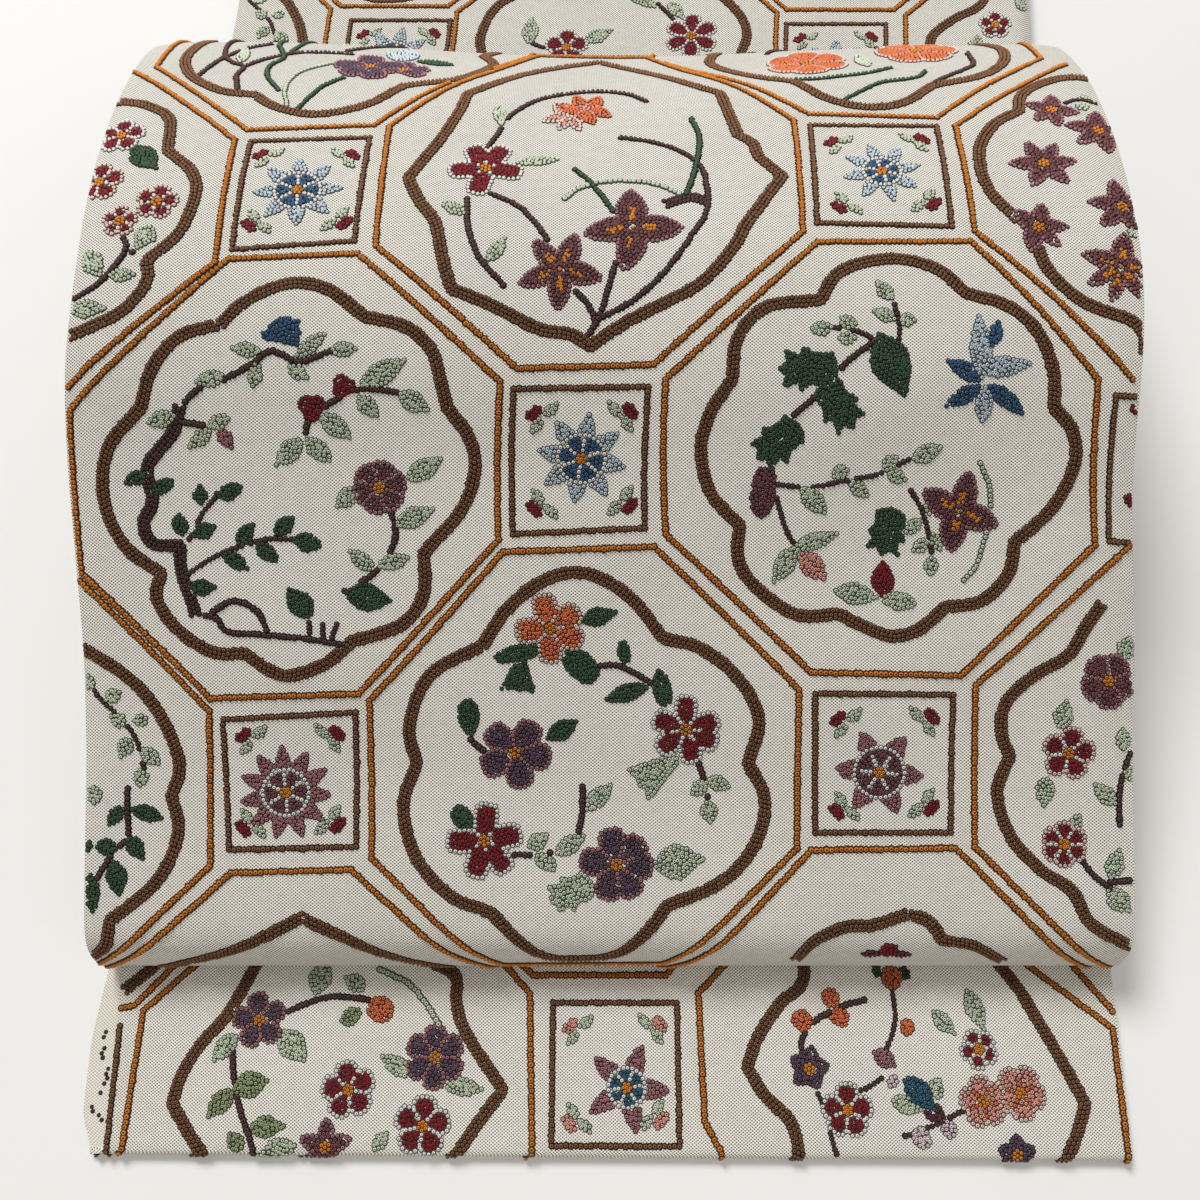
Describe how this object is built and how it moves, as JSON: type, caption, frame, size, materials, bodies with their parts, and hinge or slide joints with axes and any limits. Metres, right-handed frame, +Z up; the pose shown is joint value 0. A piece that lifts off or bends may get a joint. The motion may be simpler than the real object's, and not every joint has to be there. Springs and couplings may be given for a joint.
{
  "type": "obi sash",
  "caption": "Lined obi sash laid flat: folded lengths below, a hollow puffed drum bow on top and a short flap in front.",
  "frame": {"origin": "on the surface the sash lies on, below the middle of its overall box", "axes": "+Z up off the surface, -Y towards the front flap, +X to the right seen from the flap, +Y back along the rear stretch"},
  "size_m": [0.3294, 0.4892, 0.0887],
  "materials": {
    "rear_cloth": "matt twill silk with knotted embroidery",
    "drum_cloth": "matt twill silk with knotted embroidery",
    "flap_cloth": "matt twill silk with knotted embroidery",
    "folded_cloth": "matt twill silk, folded plies"
  },
  "bodies": {
    "root": {"rear_stretch": "rear_cloth", "drum_stretch": "drum_cloth", "tare_flap": "flap_cloth", "folded_layers": "folded_cloth"}
  },
  "joints": []
}
